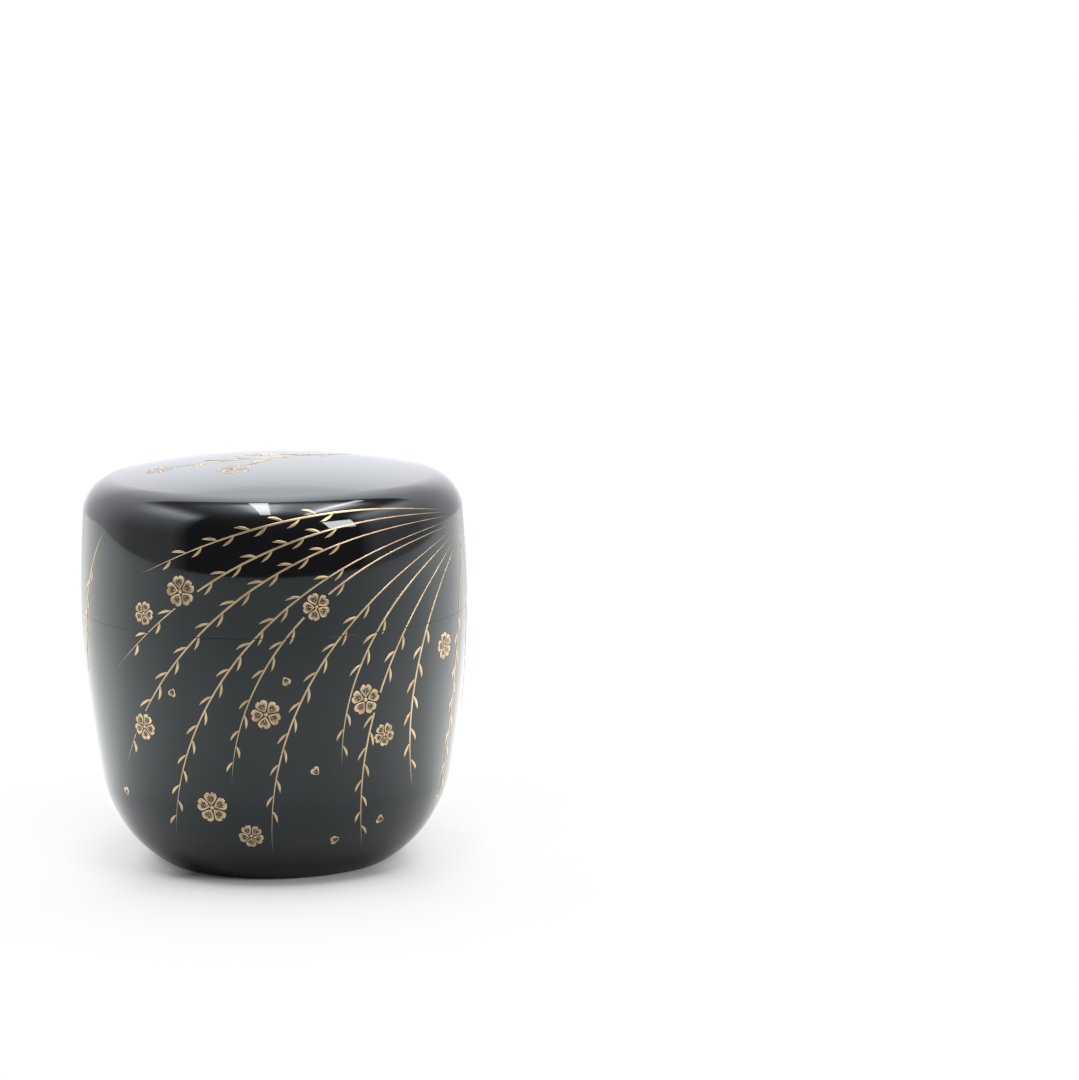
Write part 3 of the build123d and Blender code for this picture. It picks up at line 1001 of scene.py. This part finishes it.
def draw_blossoms(bm):
    for facing, level, size, turn in blossoms:
        add_blossom(bm, partial(on_side, facing), (0.0, level), size, turn)
    for facing, level, size, turn in loose_petals:
        add_petal(bm, partial(on_side, facing), (0.0, level), size, turn)


def draw_sprig(bm):
    for root, tip, bow, width in sprig_strokes + sprig_leaves:
        add_stroke(bm, on_top, root, tip, bow, width, touches_sprig_blossom)
    for middle, size, turn in sprig_blossoms:
        add_blossom(bm, on_top, middle, size, turn)
    layer = powder_layer(bm)
    for vert in bm.verts:
        vert[layer] *= sprig_powder


for draw, word in ((draw_branches, "branches"), (draw_blossoms, "blossoms")):
    for body, side in (("caddy_body", "body"), ("lid", "lid")):
        bm = bmesh.new()
        draw(bm)
        cut_at_seam(bm, keep_above=side == "lid")
        made = new_object(f"{side}_raised_{word}", bm, gold_sharp_angle)
        finish_piece(made, gold, body, f"{side}_gold_{word}")
bm = bmesh.new()
draw_sprig(bm)
made = new_object("lid_top_raised_sprig", bm, gold_sharp_angle)
finish_piece(made, gold, "lid", "lid_top_gold_sprig")


# Floor

def make_floor_material():
    """White. Away from the caddy it glows as white as the backdrop. Near it the real shadow stays, thinned
    by a painted white glow that reaches closer beside the caddy than in front. The lacquer mirrors it with
    a painted glow and painted shade.
    """
    material = bpy.data.materials.new("floor")
    tree, surface = empty_tree(material, "ShaderNodeOutputMaterial")
    where = object_coordinates(tree)
    length = add_node(tree, "ShaderNodeVectorMath", i0=where)
    length.operation = "LENGTH"
    distance = length.outputs["Value"]
    x, y, z = add_node(tree, "ShaderNodeSeparateXYZ", Vector=where).outputs
    sideways = calculate(tree, "ABSOLUTE", calculate(tree, "DIVIDE", x, distance))
    backwards = calculate(tree, "DIVIDE", y, distance)

    # Painted light: how far the floor has gone over to a plain white glow that thins the real shadow, in
    # front of the caddy and beside it
    fade_front = curve(tree, distance, [
        (0.02, 0.0), (0.021, 0.0), (0.023, 0.03), (0.025, 0.21), (0.027, 0.39), (0.029, 0.48), (0.032, 0.6),
        (0.035, 0.67), (0.038, 0.75), (0.042, 0.8), (0.05, 0.88), (0.068, 0.97), (0.08, 1.0),
    ])
    fade_side = curve(tree, distance, [
        (0.02, 0.2), (0.021, 0.3), (0.023, 0.5), (0.025, 0.62), (0.027, 0.67), (0.029, 0.7), (0.032, 0.76),
        (0.035, 0.85), (0.038, 0.92), (0.05, 0.98), (0.08, 1.0),
    ])
    fade = blend(tree, span(tree, sideways, floor_side_start, 1.0), fade_front, fade_side)

    # Painted reflection: the floor's glow that the lacquer mirrors, painted dimmer away from the caddy and
    # brighter beside and behind it, standing in for light on the floor
    mirrored = curve(tree, distance, [
        (0.0, 0.3), (0.0231, 0.38), (0.0304, 0.55), (0.0462, 0.75), (0.099, 1.0), (0.165, 0.9),
        (0.264, 0.76), (0.561, 0.7), (floor_radius, 0.6),
    ])
    towards = curve(tree, backwards, [
        (-1.0, 0.33), (-0.94, 0.33), (-0.86, 0.36), (-0.72, 0.4), (-0.6, 0.43), (-0.4, 0.51),
        (-0.1, 0.61), (0.44, 0.83), (0.8, 0.8), (0.94, 0.5), (1.0, 0.4),
    ])
    light = calculate(tree, "MULTIPLY", mirrored, calculate(tree, "MULTIPLY", towards, floor_mirror_gain))

    # Painted shade: the foot mirrors the floor beside it darker than the camera sees it
    dimmed = curve(tree, distance, [
        (0.02, 0.42), (0.022, 0.5), (0.023, 0.55), (0.024, 0.63), (0.025, 0.7), (0.027, 0.84), (0.03, 1.0),
    ])
    is_mirrored = tree.nodes.new("ShaderNodeLightPath").outputs["Is Glossy Ray"]
    tone = calculate(tree, "MULTIPLY", blend(tree, is_mirrored, 1.0, dimmed), floor_tone)
    matt = add_node(tree, "ShaderNodeBsdfPrincipled", Base_Color=tone, Roughness=0.5)
    white = add_node(tree, "ShaderNodeEmission", Strength=blend(tree, is_mirrored, 1.0, light))
    tree.links.new(mix_shaders(tree, fade, matt, white).outputs["Shader"], surface)
    return material


def make_floor():
    bm = bmesh.new()
    bmesh.ops.create_circle(bm, cap_ends=True, segments=floor_segments, radius=floor_radius)
    mesh = bpy.data.meshes.new("floor")
    bm.to_mesh(mesh)
    bm.free()
    mesh.materials.append(make_floor_material())
    made = bpy.data.objects.new("floor", mesh)
    bpy.context.scene.collection.objects.link(made)


make_floor()


# Light

def make_walls(tree, x, y, z):
    """Brightness of the walls: a dark front, paler sides up to a light cove, and a white backdrop."""
    calc = partial(calculate, tree)
    elevation = calc("MULTIPLY", calc("ARCSINE", z), 180 / pi)
    bearing = calc("ARCTAN2", x, calc("MULTIPLY", y, -1.0))
    from_front = calc("MULTIPLY", calc("ABSOLUTE", bearing), 180 / pi)

    # Brightness against elevation in degrees
    front = curve(tree, elevation, [(0, 0.07), (50, 0.09), (90, 0.1)], "VECTOR")
    side = curve(tree, elevation, [
        (0, 0.55), (10, 0.7), (20, 0.95), (28, 1.3), (34, 1.7), (39, 2.7), (44, 3.7), (48, 4.7), (90, 4.7),
    ], "VECTOR")
    flank = curve(tree, elevation, [
        (0, 1.2), (10, 1.35), (25, 1.45), (36, 1.7), (45, 2.0), (90, 2.2),
    ], "VECTOR")
    back = curve(tree, elevation, [
        (0, 1.4), (5, 1.55), (10, 1.8), (14, 2.05), (18, 2.3), (24, 2.5), (27, 2.45), (29.5, 2.1),
        (34, 2.4), (42, 2.9), (51, 3.3), (57, 3.7), (90, 3.7),
    ], "VECTOR")

    # Each goes over into the next between two bearings
    walls = blend(tree, span(tree, from_front, *front_to_side), front, side)
    walls = blend(tree, span(tree, from_front, *side_to_flank), walls, flank)
    is_back = span(tree, from_front, *flank_to_back)
    return blend(tree, is_back, walls, back), is_back


def make_ceiling(tree, x, y, z):
    """Brightness of the ceiling, dark with two long soft lights, and where the walls take over from it."""
    calc = partial(calculate, tree)
    above = calc("MAXIMUM", z, ceiling_lowest)
    across = calc("DIVIDE", x, above)
    back = calc("DIVIDE", y, above)
    elevation = calc("MULTIPLY", calc("ARCSINE", z), 180 / pi)

    # A crisp border at the back, nearest in the middle, and soft ones at the sides
    border = calc("SUBTRACT", back, calc("MULTIPLY", calc("ABSOLUTE", across), ceiling_border_slant))
    behind = span(tree, border, *ceiling_back_border)
    aside = calc("ABSOLUTE", calc("SUBTRACT", across, ceiling_middle))
    beside = curve(tree, aside, [(0.6, 0.0), (0.69, 0.08), (0.79, 0.35), (0.9, 0.72), (1.0, 1.0)])
    dark = curve(tree, elevation, [
        (0, 0.07), (45, 0.15), (54, 0.25), (60, 0.4), (66, 0.7), (72, 0.85), (90, 0.9),
    ], "VECTOR")

    # The lights side by side, each brightest along its middle, and their soft ends
    leaning = calc("MULTIPLY", across, calc("SUBTRACT", 1.0, calc("MULTIPLY", back, strip_lean)))
    strips = curve(tree, leaning, [
        (-0.8, 0.0), (-0.45, 0.0), (-0.35, 0.3), (-0.3, 0.5), (-0.25, 1.0), (-0.2, 2.1), (-0.15, 4.5),
        (-0.12, 6.5), (-0.07, 7.4), (-0.01, 7.0), (0.05, 3.9), (0.1, 2.6), (0.15, 2.1), (0.2, 2.3),
        (0.25, 3.5), (0.3, 6.0), (0.34, 7.2), (0.4, 7.2), (0.45, 5.5), (0.5, 2.7), (0.55, 1.2), (0.6, 0.6),
        (0.7, 0.2), (0.8, 0.0),
    ])
    ends = curve(tree, back, [
        (-0.6, 0.0), (-0.5, 0.0), (-0.42, 0.12), (-0.35, 0.32), (-0.28, 0.55), (-0.22, 0.8), (-0.15, 1.0),
        (0.12, 1.0), (0.17, 0.85), (0.22, 0.55), (0.28, 0.25), (0.35, 0.0), (0.6, 0.0),
    ])
    return calc("ADD", dark, calc("MULTIPLY", strips, ends)), calc("MAXIMUM", behind, beside)


def make_world():
    """What the lacquer mirrors, a weak even light for matt surfaces, and white for the camera."""
    world = bpy.data.worlds.new("studio")
    bpy.context.scene.world = world
    tree, surface = empty_tree(world, "ShaderNodeOutputWorld")
    direction = tree.nodes.new("ShaderNodeTexCoord").outputs["Generated"]
    x, y, z = add_node(tree, "ShaderNodeSeparateXYZ", Vector=direction).outputs
    walls, is_back = make_walls(tree, x, y, z)
    ceiling, is_wall = make_ceiling(tree, x, y, z)
    tint = blend(tree, calculate(tree, "MULTIPLY", is_back, is_wall), room_tint, cool_tint)
    strength = blend(tree, is_wall, ceiling, walls)
    room = add_node(tree, "ShaderNodeBackground", Color=tint, Strength=strength)
    even = add_node(tree, "ShaderNodeBackground", Color=plain_white, Strength=fill_strength)
    backdrop = add_node(tree, "ShaderNodeBackground", Color=plain_white, Strength=backdrop_strength)
    path = tree.nodes.new("ShaderNodeLightPath").outputs
    lighting = mix_shaders(tree, path["Is Glossy Ray"], even, room)
    seen = mix_shaders(tree, path["Is Camera Ray"], lighting, backdrop)
    tree.links.new(seen.outputs["Shader"], surface)


make_world()


def add_lamp(name, place, width, length, radiance, turn=0.0, target=None):
    """A rectangular soft lamp that faces down, turned in plan by degrees, or that faces a target."""
    data = bpy.data.lights.new(name, "AREA")
    data.shape = "RECTANGLE"
    data.size = width
    data.size_y = length
    data.energy = radiance * pi * width * length
    data.color = lamp_colour
    lamp = bpy.data.objects.new(name, data)
    bpy.context.scene.collection.objects.link(lamp)
    lamp.location = place
    lamp.rotation_euler = (0.0, 0.0, radians(turn))
    if target is not None:
        lamp.rotation_euler = (Vector(place) - Vector(target)).to_track_quat("Z", "Y").to_euler()


# Two long strips overhead, inside the soft lights of the ceiling, and a squarish lamp in front at the right
add_lamp("strip_middle", (-0.10, -0.082, 1.6), width=0.13, length=1.22, radiance=10.0)
add_lamp("strip_right", (0.56, -0.046, 1.6), width=0.11, length=1.39, radiance=8.0, turn=-9.0)
add_lamp("square_right", (0.72, -0.78, 0.61), width=0.35, length=0.38, radiance=13.5, target=lamp_target)


# Camera

def make_camera():
    pitch, yaw, roll = radians(camera_pitch), radians(camera_yaw), radians(camera_roll)
    forward = Vector((sin(yaw) * cos(pitch), cos(yaw) * cos(pitch), -sin(pitch)))
    right = Vector((cos(yaw), -sin(yaw), 0.0))
    up = right.cross(forward)
    right = right * cos(roll) + up * sin(roll)
    up = right.cross(forward)
    data = bpy.data.cameras.new("camera")
    data.sensor_width = sensor_width
    data.lens = focal_pixels * sensor_width / picture_pixels
    data.clip_start = 0.01
    data.clip_end = 10.0
    camera = bpy.data.objects.new("camera", data)
    bpy.context.scene.collection.objects.link(camera)
    turn = Matrix((right, up, -forward)).transposed().to_4x4()
    camera.matrix_world = Matrix.Translation(camera_place) @ turn
    bpy.context.scene.camera = camera


make_camera()

bpy.context.scene.view_settings.view_transform = "Standard"
